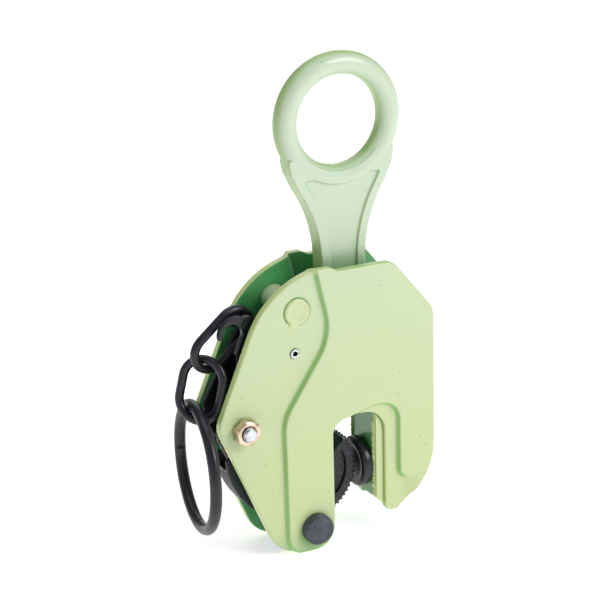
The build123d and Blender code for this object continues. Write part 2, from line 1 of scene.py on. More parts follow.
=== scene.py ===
# %% [markdown]
# # A plate lifting clamp
#
# This clamp hangs from a crane by its ring and grips a steel plate between a toothed cam and a round
# jaw. Its real parts are pressed side plates, a forged ring, black machined steel and a short chain.
# The engineering model already holds every part at its real size and place, so this notebook only
# makes the surfaces: rounded forged edges, wound wire, cut teeth, paint and black oxide.

# %% Load the frame
import json
from math import cos, radians, sin, tau

import bmesh
import bpy
from mathutils import Matrix, Vector

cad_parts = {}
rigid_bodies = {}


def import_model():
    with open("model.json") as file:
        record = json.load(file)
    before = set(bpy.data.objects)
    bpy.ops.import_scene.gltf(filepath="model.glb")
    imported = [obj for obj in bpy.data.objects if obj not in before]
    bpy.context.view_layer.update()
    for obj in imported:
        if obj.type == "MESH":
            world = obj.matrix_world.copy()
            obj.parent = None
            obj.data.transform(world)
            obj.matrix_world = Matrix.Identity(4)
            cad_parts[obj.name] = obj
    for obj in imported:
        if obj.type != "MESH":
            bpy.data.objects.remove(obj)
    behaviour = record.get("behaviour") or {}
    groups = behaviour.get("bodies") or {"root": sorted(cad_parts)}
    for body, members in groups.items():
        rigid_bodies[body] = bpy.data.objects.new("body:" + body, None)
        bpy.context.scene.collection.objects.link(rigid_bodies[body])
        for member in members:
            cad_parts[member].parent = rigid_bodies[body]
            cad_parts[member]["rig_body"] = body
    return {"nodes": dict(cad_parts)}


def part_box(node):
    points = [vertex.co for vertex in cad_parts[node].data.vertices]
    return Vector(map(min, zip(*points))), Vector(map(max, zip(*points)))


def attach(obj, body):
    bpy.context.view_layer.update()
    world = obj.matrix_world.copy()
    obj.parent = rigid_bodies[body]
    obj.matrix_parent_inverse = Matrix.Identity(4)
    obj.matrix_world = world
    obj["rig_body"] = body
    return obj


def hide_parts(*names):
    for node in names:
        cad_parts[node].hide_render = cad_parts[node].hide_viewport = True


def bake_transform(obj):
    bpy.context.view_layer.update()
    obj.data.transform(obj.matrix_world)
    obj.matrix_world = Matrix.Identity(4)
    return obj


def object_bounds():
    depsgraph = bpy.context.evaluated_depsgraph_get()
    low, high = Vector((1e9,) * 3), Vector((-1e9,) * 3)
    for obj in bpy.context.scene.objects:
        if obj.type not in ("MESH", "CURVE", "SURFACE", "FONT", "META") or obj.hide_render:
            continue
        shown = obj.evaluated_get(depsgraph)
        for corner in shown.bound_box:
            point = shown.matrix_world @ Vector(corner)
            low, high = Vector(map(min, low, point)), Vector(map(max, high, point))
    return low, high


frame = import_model()
cad_low, cad_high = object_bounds()
MM = 0.001
scene = bpy.context.scene
print("pieces in the frame:", len(frame["nodes"]))

# %% [markdown]
# ## Camera, floor and light
#
# A long lens from a little above and to the left shows the rear edge with the chain and the open
# mouth at once. A real studio would hang white paper behind the clamp and use wide soft boxes, so
# here a pale floor reaches far behind it and four large area lights stand round it.

# %% Camera
AZIMUTH, ELEVATION, ROLL = radians(-26.47), radians(19.11), radians(-1.49)
AIM = Vector((-24.5, 0.0, -98.3)) * MM
DISTANCE = 1.2394
LENS, SENSOR, SIGHT = 136.3, 36.0, 50.0
back = Vector((sin(AZIMUTH) * cos(ELEVATION), -cos(AZIMUTH) * cos(ELEVATION), sin(ELEVATION)))
level = Vector((cos(AZIMUTH), sin(AZIMUTH), 0.0))
upward = back.cross(level)
right = level * cos(ROLL) + upward * sin(ROLL)
top = upward * cos(ROLL) - level * sin(ROLL)
camera = bpy.data.objects.new("camera", bpy.data.cameras.new("camera"))
camera.data.lens = LENS
camera.data.sensor_width = SENSOR
camera.data.clip_end = SIGHT
camera_axes = Matrix((right, top, back)).transposed().to_4x4()
camera.matrix_world = Matrix.Translation(AIM + back * DISTANCE) @ camera_axes
scene.collection.objects.link(camera)
scene.camera = camera
print("camera stands", round(DISTANCE, 2), "m from the clamp")


# %% Floor and lights
def area_light(name, size, power, place, aim, colour=(1.0, 1.0, 1.0)):
    """Square soft box that looks at a point."""
    lamp = bpy.data.lights.new(name, "AREA")
    lamp.size = size
    lamp.energy = power
    lamp.color = colour
    holder = bpy.data.objects.new(name, lamp)
    holder.location = place
    holder.rotation_euler = (Vector(place) - Vector(aim)).to_track_quat("Z", "Y").to_euler()
    scene.collection.objects.link(holder)


FLOOR_GAP, FLOOR_REACH = 0.0005, 24.0
FLOOR_Z = cad_low.z - FLOOR_GAP
floor_mesh = bpy.data.meshes.new("floor")
floor_corners = [(x * FLOOR_REACH, y * FLOOR_REACH, FLOOR_Z) for x, y in ((-1, -1), (1, -1), (1, 1), (-1, 1))]
floor_mesh.from_pydata(floor_corners, [], [(0, 1, 2, 3)])
floor = bpy.data.objects.new("floor", floor_mesh)
scene.collection.objects.link(floor)

area_light("key_box", 0.8, 16.5, (0.85, -1.2, 0.80), AIM)
area_light("left_box", 0.7, 1.0, (-1.3, -0.7, 0.35), AIM, (0.92, 0.98, 1.0))
area_light("top_box", 1.2, 6.0, (-0.1, 0.1, 1.3), AIM, (0.95, 0.99, 1.0))
area_light("back_box", 1.0, 3.0, (0.5, 1.3, 0.6), AIM)
world = bpy.data.worlds.new("studio")
world.use_nodes = True
world.node_tree.nodes["Background"].inputs["Color"].default_value = (0.96, 0.99, 1.0, 1.0)
world.node_tree.nodes["Background"].inputs["Strength"].default_value = 0.26
scene.world = world
scene.view_settings.view_transform = "Standard"


# %% [markdown]
# ## Writing a finish as sums
#
# A material in Blender is a graph of nodes. Wiring each sum by hand hides what it says, so `Wire`
# stands for one socket and lets Python's own signs add the Math nodes. Everything else goes through
# `Finish.node`, which takes the node's type, its settings and the values of its sockets.

# %% Sockets that can be added and multiplied
class Wire:
    """One output socket of a graph, usable in sums."""

    def __init__(self, graph, socket):
        self.graph = graph
        self.socket = socket

    def maths(self, operation, first, second):
        return self.graph.node("ShaderNodeMath", {"operation": operation}, {0: first, 1: second})

    def __add__(self, other):
        return self.maths("ADD", self, other)

    def __radd__(self, other):
        return self.maths("ADD", other, self)

    def __sub__(self, other):
        return self.maths("SUBTRACT", self, other)

    def __rsub__(self, other):
        return self.maths("SUBTRACT", other, self)

    def __mul__(self, other):
        return self.maths("MULTIPLY", self, other)

    def __rmul__(self, other):
        return self.maths("MULTIPLY", other, self)

    def __truediv__(self, other):
        return self.maths("DIVIDE", self, other)


class Graph:
    """A tree of nodes, for a finish or for a shape."""

    def node(self, kind, settings=None, values=None, out=0):
        """Add a node, set it up, feed its sockets, and hand back one of its outputs."""
        made = self.tree.nodes.new(kind)
        for key, value in (settings or {}).items():
            setattr(made, key, value)
        for key, value in (values or {}).items():
            if isinstance(value, Wire):
                self.tree.links.new(value.socket, made.inputs[key])
            else:
                made.inputs[key].default_value = value
        return Wire(self, made.outputs[out]) if made.outputs else None


class Finish(Graph):
    """One material and the nodes in it."""

    def __init__(self, name):
        self.material = bpy.data.materials.new(name)
        self.material.use_nodes = True
        self.tree = self.material.node_tree
        self.tree.nodes.clear()
        self.place = self.node("ShaderNodeTexCoord", out="Object")

    def noise(self, size, detail=2.0):
        """Soft noise whose lumps are about a size across, in metres."""
        return self.node("ShaderNodeTexNoise", {},
                         {"Vector": self.place, "Scale": 1.0 / size, "Detail": detail})

    def ramp(self, value, low, high):
        """0 below low, 1 above high, and smooth between them."""
        return self.node("ShaderNodeMapRange", {"interpolation_type": "SMOOTHSTEP"},
                         {0: value, 1: low, 2: high, 3: 0.0, 4: 1.0})

    def mix(self, mask, low, high):
        """Colour that goes from low to high with a mask."""
        return self.node("ShaderNodeMix", {"data_type": "RGBA"}, {0: mask, 6: low, 7: high}, out=2)

    def hollow(self, reach):
        """1 deep in a corner between pieces, 0 in the open."""
        return 1.0 - self.node("ShaderNodeAmbientOcclusion", {"samples": 8}, {"Distance": reach}, out="AO")

    def ridge(self, reach):
        """1 on an outer edge, 0 on a flat."""
        inner = {"samples": 8, "inside": True, "only_local": True}
        return 1.0 - self.node("ShaderNodeAmbientOcclusion", inner, {"Distance": reach}, out="AO")

    def bump(self, height, depth):
        """Surface normal after a relief of a depth in metres."""
        return self.node("ShaderNodeBump", {}, {"Height": height, "Distance": depth, "Strength": 1.0})

    def shade(self, **values):
        """Principled surface as the material's output; returns the material."""
        named = {key.replace("_", " "): value for key, value in values.items()}
        surface = self.node("ShaderNodeBsdfPrincipled", {}, named)
        self.node("ShaderNodeOutputMaterial", {}, {"Surface": surface})
        return self.material


def shade_of(red, green, blue):
    """Colour with full cover, as linear light."""
    return (red, green, blue, 1.0)


print("finish helpers ready")


# %% [markdown]
# ## The finishes
#
# The plates and the ring wear a thick pale green enamel. It lies a little uneven, is thinner on sharp
# edges, where a painted highlight turns it yellow, and holds specks of dirt. Painted shade makes it a
# deeper green in corners and hollows. Between the plates the light has bounced off green paint many
# times, so it looks far greener there. That deeper green, the darker band along the pressed step and
# the narrow sides, darker on the ring and yellower on the plates, are painted in by place and
# direction, because soft light alone leaves them too pale. The cam, lever, jaw, pins and chain are
# blackened steel, which is matt, faintly blue, and rubbed grey along its edges. Zinc plate covers the
# small hardware, bright or passivated to a pinkish gold, with painted shade in its corners.

# %% Green enamel
# Limits in metres: across the clamp for the inner faces and the step, then along X and Z for the step.
INNER_FACES, STEP_RISE = (0.0120, 0.0132), (0.0168, 0.0175)
STEP_RIGHT_END, STEP_TOP_END = (0.028, 0.036), (-0.079, -0.077)
TINT_LOW_Z, TINT_HIGH_Z = -0.20, 0.0
HOLLOW_SHADE_GREEN, CORNER_SHADE_GREEN = shade_of(0.06, 0.34, 0.09), shade_of(0.16, 0.40, 0.05)
INNER_SHADE_GREEN, FLANK_SHADE_GREEN = shade_of(0.055, 0.34, 0.10), shade_of(0.34, 0.53, 0.14)
STEP_SHADE_GREEN, THIN_PAINT_AND_HIGHLIGHT_YELLOW = shade_of(0.22, 0.50, 0.12), shade_of(0.74, 0.80, 0.34)
DIRT = shade_of(0.10, 0.12, 0.04)


def green_enamel(name, low_tint, high_tint, between=0.0, thin_and_highlight=0.7, flank_shade=0.0, flank_shade_tint=FLANK_SHADE_GREEN):
    """Thick enamel, yellower low down, painted shade in hollows and between plates, thinner paint and a painted
    highlight on edges.
    """
    paint = Finish(name)
    across, side, height = (
        paint.node("ShaderNodeSeparateXYZ", {}, {0: paint.place}, out=i) for i in range(3))
    normal = paint.node("ShaderNodeNewGeometry", out="Normal")
    normal_y = paint.node("ShaderNodeSeparateXYZ", {}, {0: normal}, out=1)
    depth = paint.node("ShaderNodeMath", {"operation": "ABSOLUTE"}, {0: side})
    facing = paint.node("ShaderNodeMath", {"operation": "ABSOLUTE"}, {0: normal_y})
    # The tint from top to bottom, then painted shade, a deeper green, in wide hollows and in tight corners.
    drift = paint.noise(0.045, 3.0)
    body = paint.mix(paint.ramp(height + 0.05 * drift, TINT_LOW_Z, TINT_HIGH_Z), low_tint, high_tint)
    body = paint.mix(paint.ramp(paint.hollow(0.030), 0.25, 0.90) * 0.92, body, HOLLOW_SHADE_GREEN)
    body = paint.mix(paint.ramp(paint.hollow(0.004), 0.22, 0.75) * 0.80, body, CORNER_SHADE_GREEN)
    # Painted shade with bounced green light on faces that look at the clamp's middle plane, or lie between the plates.
    inward = paint.ramp(-1000.0 * (side * normal_y), 5.0, 9.0)
    inside = paint.node("ShaderNodeMath", {"operation": "MAXIMUM"},
                        {0: inward, 1: 1.0 - paint.ramp(depth, *INNER_FACES)})
    body = paint.mix(inside * between, body, INNER_SHADE_GREEN)
    # Painted shade by direction: narrow sides that don't face the front or the back, and the pressed step among them.
    narrow = paint.ramp(1.0 - facing, 0.10, 0.75) * (1.0 - inside * between)
    body = paint.mix(narrow * flank_shade, body, flank_shade_tint)
    # Painted shade: a darker band along the pressed step.
    step = paint.ramp(1.0 - facing, 0.12, 0.40) * paint.ramp(depth, *STEP_RISE)
    step = step * (1.0 - paint.ramp(across, *STEP_RIGHT_END)) * (1.0 - paint.ramp(height, *STEP_TOP_END))
    body = paint.mix(step * 0.80, body, STEP_SHADE_GREEN)
    # Thin paint with a painted highlight on outer edges, and specks of dirt in some of the cells.
    body = paint.mix(paint.ramp(paint.ridge(0.0016), 0.28, 0.60) * thin_and_highlight, body, THIN_PAINT_AND_HIGHLIGHT_YELLOW)
    cell = paint.node("ShaderNodeTexVoronoi", {}, {"Vector": paint.place, "Scale": 210.0}, out="Distance")
    chosen = paint.ramp(paint.noise(0.011, 0.0), 0.62, 0.66)
    body = paint.mix(chosen * (1.0 - paint.ramp(cell, 0.05, 0.11)) * 0.75, body, DIRT)
    relief = paint.noise(0.0016, 1.0) * 0.35 + paint.noise(0.009, 1.0)
    return paint.shade(Base_Color=body, Roughness=0.30 + 0.12 * drift, Coat_Weight=0.30, Coat_Roughness=0.10,
                       Normal=paint.bump(relief, 0.00012))


LOW_TINT, HIGH_TINT = shade_of(0.56, 0.635, 0.325), shade_of(0.55, 0.645, 0.42)
enamel = green_enamel("green_enamel", LOW_TINT, HIGH_TINT)
ring_enamel = green_enamel("green_enamel_on_forging", LOW_TINT, shade_of(0.56, 0.66, 0.50), flank_shade=0.75)
plate_enamel = green_enamel("green_enamel_on_plates", LOW_TINT, HIGH_TINT, 0.92, flank_shade=0.7,
                            flank_shade_tint=shade_of(0.68, 0.80, 0.27))
weld_enamel = green_enamel("green_enamel_on_weld", shade_of(0.58, 0.635, 0.32), shade_of(0.57, 0.64, 0.385),
                           thin_and_highlight=0.2)
print("green enamel:", len(enamel.node_tree.nodes), "nodes")


# %% Black oxide, smooth and rough
def black_oxide(name, grain, depth, lightest, gloss, wear=0.8, fleck=0.0, base=1.0):
    """Blackened steel: grain and depth are its relief, lightest is where it is rubbed or pitted."""
    steel = Finish(name)
    cloud = steel.noise(0.006, 4.0)
    body = steel.mix(steel.ramp(cloud, 0.3, 0.7), shade_of(0.008 * base, 0.009 * base, 0.012 * base),
                     shade_of(0.017 * base, 0.019 * base, 0.025 * base))
    rubbed = steel.ramp(steel.ridge(0.0009), 0.30, 0.65) * steel.ramp(steel.noise(0.0025, 3.0), 0.35, 0.6)
    pit = steel.ramp(steel.noise(0.0008, 2.0), 0.58, 0.72) * fleck
    body = steel.mix(pit, body, lightest)
    body = steel.mix(rubbed * wear, body, lightest)
    rough = steel.noise(grain, 2.0)
    return steel.shade(Base_Color=body, Roughness=gloss + 0.16 * cloud - 0.1 * rubbed,
                       Metallic=0.2 + 0.4 * rubbed, Coat_Weight=0.06, Coat_Roughness=0.25,
                       Normal=steel.bump(rough + cloud * 0.6, depth))


machined_black = black_oxide("machined_black", 0.0007, 0.00003, shade_of(0.15, 0.15, 0.19), 0.24)
turned_black = black_oxide("turned_black", 0.0007, 0.00002, shade_of(0.20, 0.21, 0.24), 0.34, 0.15, 0.25, 4.0)
forged_black = black_oxide("forged_black", 0.0012, 0.00022, shade_of(0.26, 0.29, 0.34), 0.40, 1.0, 0.4)
lever_black = black_oxide("lever_black", 0.0009, 0.00004, shade_of(0.22, 0.25, 0.30), 0.26)
wire_black = black_oxide("wire_black", 0.0022, 0.00006, shade_of(0.09, 0.10, 0.13), 0.26, 0.8, 0.12)
print("black finishes ready")


# %% Zinc plating and spring wire
def plated(name, low, high, gloss):
    """Bare metal that is cloudy between two colours, with painted shade in its corners."""
    zinc = Finish(name)
    bloom = zinc.noise(0.0035, 3.0)
    body = zinc.mix(zinc.ramp(bloom, 0.35, 0.65), low, high)
    # Painted shade: a dark brown deep in the corners.
    corner = zinc.ramp(zinc.hollow(0.003), 0.3, 1.0)
    body = zinc.mix(corner * 0.6, body, shade_of(0.10, 0.08, 0.06))
    return zinc.shade(Base_Color=body, Metallic=1.0, Roughness=gloss + 0.18 * bloom,
                      Normal=zinc.bump(zinc.noise(0.0006, 2.0), 0.00002))


bright_zinc = plated("bright_zinc", shade_of(0.60, 0.62, 0.66), shade_of(0.74, 0.75, 0.77), 0.22)
yellow_zinc = plated("yellow_zinc", shade_of(0.72, 0.50, 0.36), shade_of(0.86, 0.66, 0.56), 0.20)
spring_wire = plated("spring_wire", shade_of(0.10, 0.085, 0.07), shade_of(0.19, 0.16, 0.13), 0.28)
print("plated finishes ready")

# %% Floor paper
paper = Finish("pale_floor")
floor.data.materials.append(paper.shade(Base_Color=shade_of(0.84, 0.85, 0.85), Roughness=0.85,
                                        Emission_Color=shade_of(1.0, 1.0, 1.0), Emission_Strength=0.62))


# %% [markdown]
# ## Starting from the exact part
#
# A copy of an engineering part has the right size but knife-sharp edges. It also arrives as loose
# triangles, so each copy is welded first. Machined parts then get a narrow bevel. Forged and pressed
# parts are soft all over, so they are recast in small voxels and relaxed, which rounds every edge
# and leaves a fillet in every corner, as a die does.

# %% Copies, bevels and recasting
def new_object(name, mesh):
    made = bpy.data.objects.new(name, mesh)
    scene.collection.objects.link(made)
    return made


def copy_of(node, name):
    """Welded copy of a CAD piece with its flat faces made whole."""
    mesh = frame["nodes"][node].data.copy()
    mesh.name = name
    mesh.materials.clear()
    if "custom_normal" in mesh.attributes:
        mesh.attributes.remove(mesh.attributes["custom_normal"])
    shell = bmesh.new()
    shell.from_mesh(mesh)
    bmesh.ops.remove_doubles(shell, verts=shell.verts, dist=2e-6)
    bmesh.ops.dissolve_limit(shell, angle_limit=radians(0.5), verts=shell.verts, edges=shell.edges)
    shell.to_mesh(mesh)
    shell.free()
    return new_object(name, mesh)


def settle(piece):
    """Make the result of a piece's modifiers its own plain mesh."""
    bpy.context.view_layer.update()
    seen = piece.evaluated_get(bpy.context.evaluated_depsgraph_get())
    piece.data = bpy.data.meshes.new_from_object(seen)
    piece.data.name = piece.name
    piece.modifiers.clear()


SHARP = radians(30.0)


def bevelled(node, name, width):
    """Copy with every sharp edge turned into a narrow round one."""
    piece = copy_of(node, name)
    bevel = piece.modifiers.new("edge", "BEVEL")
    bevel.width = width
    bevel.segments = 3
    bevel.limit_method = "ANGLE"
    bevel.angle_limit = SHARP
    bevel.use_clamp_overlap = True
    bevel.harden_normals = True
    piece.data.shade_smooth()
    settle(piece)
    return piece


def softened(piece, voxel, passes):
    """Piece remade in small voxels and relaxed, as a forged or pressed part."""
    remesh = piece.modifiers.new("recast", "REMESH")
    remesh.mode = "VOXEL"
    remesh.voxel_size = voxel
    relax = piece.modifiers.new("relax", "SMOOTH")
    relax.factor = 0.5
    relax.iterations = passes
    settle(piece)
    piece.data.shade_smooth()
    return piece


def recast(node, name, voxel, passes):
    """Softened copy of a CAD piece."""
    return softened(copy_of(node, name), voxel, passes)


def fit(piece, material, slot, *nodes, body=None):
    """Give a finished piece its material and body, and hide the CAD nodes it stands for. The slot is not used."""
    piece.data.materials.clear()
    piece.data.materials.append(material)
    body = body or frame["nodes"][nodes[0]]["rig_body"]
    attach(piece, body)
    if nodes:
        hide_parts(*nodes)
    print(piece.name, "has", len(piece.data.polygons), "faces and rides on", body)


# %% [markdown]
# ## Ring and side plates
#
# The ring is one forging: a round bar bent into an eye that flows into a flat neck. The plates are
# pressed from 5 mm steel, so the raised panel has soft shoulders. Both are recast. The voxels have to
# be smaller than the narrowest rib, which sets them to about half a millimetre.

# %% Forged ring
ring = recast("lifting_ring", "lifting_ring_forging", 0.50 * MM, 5)
fit(ring, ring_enamel, "paint", "lifting_ring")

# %% Pressed side plates
STEP_OUT, STEP_RUN = 3.0, 2.02
FADE_FROM, FADE_OVER = 28.0, 11.0
LEDGE_X, LEDGE_Z, LEDGE_SLOPE = 24.4, -209.5, 0.077


def fade_step(piece):
    """Let the pressed step run out to nothing at the lower right, where the die had no edge."""
    for vertex in piece.data.vertices:
        x, y, z = vertex.co / MM
        border = LEDGE_Z + LEDGE_SLOPE * (x - LEDGE_X)
        if x < FADE_FROM or z > border + STEP_RUN:
            continue
        level = STEP_OUT * max(0.0, (z - border) / STEP_RUN)
        share = min(1.0, (x - FADE_FROM) / FADE_OVER)
        share = share * share * (3 - 2 * share)
        vertex.co.y += (STEP_OUT - level) * share * MM * (1 if y > 0 else -1)


for node in ("front_side_plate", "rear_side_plate"):
    plate = recast(node, node + "_pressing", 0.60 * MM, 3)
    fade_step(plate)
    fit(plate, plate_enamel, "paint", node)

# %% Jaw block and stay
block = recast("jaw_block", "jaw_block_casting", 0.6 * MM, 3)
fit(block, plate_enamel, "paint", "jaw_block")
stay = bevelled("upper_stay", "upper_stay_bar", 0.4 * MM)
fit(stay, enamel, "paint", "upper_stay")

# %% [markdown]
# ## Turned pieces
#
# The swivel jaw, the face of the cam pin's head and the weld beads are round. A lathe makes such a
# piece from a profile, and so does this helper: it sweeps a list of distances and radii round an
# axis. The rings that the turning tool leaves are part of the profile.

# %% A lathe
def turned(name, profile, origin, axis, sides=96):
    """Closed surface swept round an axis from (distance along it, radius) pairs, in millimetres."""
    along = Vector(axis).normalized()
    across = along.orthogonal().normalized()
    third = along.cross(across)
    shell = bmesh.new()
    loops = []
    for reach, radius in profile:
        centre = Vector(origin) + along * reach
        if radius == 0:
            loops.append([shell.verts.new(centre * MM)])
            continue
        turn = [tau * i / sides for i in range(sides)]
        spokes = [(across * cos(a) + third * sin(a)) * radius for a in turn]
        loops.append([shell.verts.new((centre + spoke) * MM) for spoke in spokes])
    for low, high in zip(loops, loops[1:]):
        for i in range(sides):
            k = (i + 1) % sides
            corners = [low[i % len(low)], low[k % len(low)], high[k % len(high)], high[i % len(high)]]
            shell.faces.new(list(dict.fromkeys(corners)))
    bmesh.ops.recalc_face_normals(shell, faces=shell.faces)
    mesh = bpy.data.meshes.new(name)
    shell.to_mesh(mesh)
    shell.free()
    mesh.shade_smooth()
    mesh.set_sharp_from_angle(angle=radians(38))
    return new_object(name, mesh)


def rings(start, stop, depth, pitch, surface):
    """Profile points of fine turned rings on a face, from one radius out to another."""
    count = int((stop - start) / pitch)
    return [(surface + depth * (i % 2), start + pitch * i) for i in range(count + 1)]


# %% Swivel jaw
jaw_low, jaw_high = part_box("swivel_jaw")
JAW_AXIS = tuple(v / MM for v in (jaw_low.x, 0.0, (jaw_low.z + jaw_high.z) / 2))
JAW_R = (jaw_high.z - jaw_low.z) / 2 / MM
JAW_REACH = (jaw_high.x - jaw_low.x) / MM
jaw_profile = ([(0.9, 0)] + rings(1.5, 10.6, 0.16, 1.4, 0.5)
               + [(0.1, 11.4), (0.0, 12.0), (0.35, 13.3), (1.0, JAW_R - 0.35), (1.8, JAW_R), (4.9, JAW_R),
                  (5.7, JAW_R - 0.35), (6.6, JAW_R - 1.6), (7.1, JAW_R - 3.0), (7.1, 5.9),
                  (JAW_REACH - 0.4, 5.9), (JAW_REACH, 5.5), (JAW_REACH, 0)])
jaw = turned("swivel_jaw_turning", jaw_profile, JAW_AXIS, (1, 0, 0))
fit(jaw, machined_black, "black_oxide", "swivel_jaw")

# %% Cam pin with a turned head
pin_body = bevelled("cam_pin", "cam_pin_bar", 0.25 * MM)
fit(pin_body, turned_black, "black_oxide", "cam_pin")
pin_low, pin_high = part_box("cam_pin")
PIN_AXIS = tuple(v / MM for v in ((pin_low.x + pin_high.x) / 2, pin_low.y, (pin_low.z + pin_high.z) / 2))
FACE_LIFT = 0.12
face_rings = [(-y, r) for y, r in reversed(rings(1.2, 7.6, 0.10, 0.4, -0.10))]
face_profile = [(-0.5, 0), (-0.5, 8.2), (0.0, 8.0)] + face_rings
face_profile += [(-0.10, 1.0), (-0.35, 0.4), (-0.35, 0)]
pin_face = turned("cam_pin_face", face_profile, PIN_AXIS, (0, -1, 0), 72)
pin_face.data.transform(Matrix.Translation((0, -FACE_LIFT * MM, 0)))
fit(pin_face, turned_black, "black_oxide", body="clamp_body")

# %% Weld beads over the stay's ends
stay_low, stay_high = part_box("upper_stay")
weld_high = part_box("stay_welds")[1]
STAY_X = (stay_low.x + stay_high.x) / 2 / MM
STAY_Z = (stay_low.z + stay_high.z) / 2 / MM
WELD_Y = weld_high.y / MM
bead = [(-2.1, 0), (-2.1, 7.7), (-0.7, 7.8), (-0.25, 7.65), (0.25, 7.2), (0.50, 6.5), (0.50, 5.8),
        (0.25, 4.8), (0.10, 3.6), (0.10, 2.0), (0.20, 1.0), (0.22, 0)]
drop = [(-1.2, 0), (-0.7, 3.3), (-0.35, 3.0), (0.05, 2.1), (0.25, 1.0), (0.3, 0)]
DROP_LEFT, DROP_DOWN, DROP_IN = 2.2, 6.9, 0.15
beads = []
for side in (1, -1):
    beads.append(turned("bead", bead, (STAY_X, side * WELD_Y, STAY_Z), (0, side, 0), 64))
    drop_at = (STAY_X - DROP_LEFT, side * (WELD_Y - DROP_IN), STAY_Z - DROP_DOWN)
    beads.append(turned("drop", drop, drop_at, (0, side, 0), 32))


def joined(name, parts):
    """One object from several, which are used up."""
    shell = bmesh.new()
    for part in parts:
        shell.from_mesh(part.data)
        bpy.data.objects.remove(part)
    mesh = bpy.data.meshes.new(name)
    shell.to_mesh(mesh)
    shell.free()
    mesh.shade_smooth()
    mesh.set_sharp_from_angle(angle=radians(38))
    return new_object(name, mesh)


fit(joined("stay_weld_beads", beads), weld_enamel, "paint", "stay_welds")

# %% [markdown]
# ## Shapes that follow a rule
#
# Chain links, the pull ring, the spring and the bolt's thread are all round wire laid along a path,
# and the cam's teeth are one tooth repeated over a curved face. Geometry Nodes say such a rule once:
# a tree takes the sizes as inputs and gives the shape. `Recipe` builds a tree with named inputs and
# turns its result into a plain mesh.

# %% A tree of geometry nodes with named inputs
class Recipe(Graph):
    """Geometry tree that ends in Realize Instances and Set Material."""

    def __init__(self, name, **inputs):
        self.tree = bpy.data.node_groups.new(name, "GeometryNodeTree")
        self.sockets = {}
        for key, kind in inputs.items():
            socket = self.tree.interface.new_socket(key, in_out="INPUT", socket_type=kind)
            self.sockets[key] = socket.identifier
        self.tree.interface.new_socket("Shape", in_out="OUTPUT", socket_type="NodeSocketGeometry")
        self.entry = self.tree.nodes.new("NodeGroupInput")

    def take(self, key):
        """The value of a named input."""
        return Wire(self, self.entry.outputs[key])

    def end(self, shape):
        """Close the tree: real geometry with its finish."""
        whole = self.node("GeometryNodeRealizeInstances", {}, {"Geometry": shape})
        dressed = self.node("GeometryNodeSetMaterial", {},
                            {"Geometry": whole, "Material": self.take("Finish")})
        self.tree.links.new(dressed.socket, self.tree.nodes.new("NodeGroupOutput").inputs["Shape"])

    def make(self, name, place=None, **values):
        """Run the tree with its sizes and keep the result as a mesh at its place."""
        piece = new_object(name, bpy.data.meshes.new(name))
        modifier = piece.modifiers.new("recipe", "NODES")
        modifier.node_group = self.tree
        for key, value in values.items():
            modifier[self.sockets[key]] = value
        settle(piece)
        if place:
            piece.data.transform(place)
        return piece


def placed(origin, x_axis, y_axis):
    """Matrix that puts a shape's X and Y along two directions at a point, in millimetres."""
    first = Vector(x_axis).normalized()
    third = first.cross(Vector(y_axis)).normalized()
    second = third.cross(first)
    return Matrix.Translation(Vector(origin) * MM) @ Matrix((first, second, third)).transposed().to_4x4()


FLOAT, WHOLE, STUFF = "NodeSocketFloat", "NodeSocketInt", "NodeSocketMaterial"
print("recipe helper ready")

# %% [markdown]
# ### Wire bent into a closed loop
#
# A chain link is a rod bent into two half circles with straight sides, and butt welded. A rectangle
# whose corners are filleted by half its width gives that path, and for a square it gives a circle,
# so one recipe makes the links and the pull ring.

# %% Bent wire recipe
# The fillet stays just under half the width, so the corners never quite meet. What is left between
# them is a sliver, which Merge by Distance removes.
NEARLY_HALF, SLIVER = 0.4999, 0.05 * MM
CORNER_POINTS, ROD_SIDES = 26, 20
loop = Recipe("bent_wire_loop", Length=FLOAT, Width=FLOAT, Wire=FLOAT, Finish=STUFF)
inner_width = loop.take("Width") - loop.take("Wire") * 2.0
inner_length = loop.take("Length") - loop.take("Wire") * 2.0
frame_path = loop.node("GeometryNodeCurvePrimitiveQuadrilateral", {}, {0: inner_width, 1: inner_length})
round_path = loop.node("GeometryNodeFilletCurve", {"mode": "POLY"},
                       {"Curve": frame_path, "Radius": inner_width * NEARLY_HALF, "Count": CORNER_POINTS})
rod = loop.node("GeometryNodeCurvePrimitiveCircle", {"mode": "RADIUS"},
                {0: ROD_SIDES, "Radius": loop.take("Wire")})
loop_tube = loop.node("GeometryNodeCurveToMesh", {}, {"Curve": round_path, "Profile Curve": rod})
loop.end(loop.node("GeometryNodeMergeByDistance", {}, {"Geometry": loop_tube, "Distance": SLIVER}))

# %% Links and pull ring
# The wire is thicker than in the engineering model, whose thin wire keeps play between the links.
WIRE_R, WIRE_SEEN = 2.15, 2.5
GROWN = 2 * (WIRE_SEEN - WIRE_R)
LINK_SLOPE, LINK_ROLL, LOWER_LEAN, LOWER_YAW = (radians(v) for v in (40.0, 10.0, 14.0, -47.0))
UPPER_LENGTH, UPPER_WIDTH, LOWER_LENGTH, LOWER_WIDTH = 43.0, 25.0, 38.5, 28.0
ANCHOR, UPPER_HANG = Vector((-61.5, 0.0, -103.5)), 13.6
upper_dir = Vector((-cos(LINK_SLOPE), 0.0, -sin(LINK_SLOPE)))
upper_side = Vector((-sin(LINK_SLOPE) * cos(LINK_ROLL), -sin(LINK_ROLL), cos(LINK_SLOPE) * cos(LINK_ROLL)))
upper_centre = ANCHOR + upper_dir * UPPER_HANG
upper = loop.make("upper_chain_link_wire", placed(upper_centre, upper_side, upper_dir),
                  Length=(UPPER_LENGTH + GROWN) * MM, Width=(UPPER_WIDTH + GROWN) * MM,
                  Wire=WIRE_SEEN * MM, Finish=wire_black)
fit(upper, wire_black, "black_wire", "chain_link_upper")
SEAT = Vector((-81.288, 0.0, -122.314))
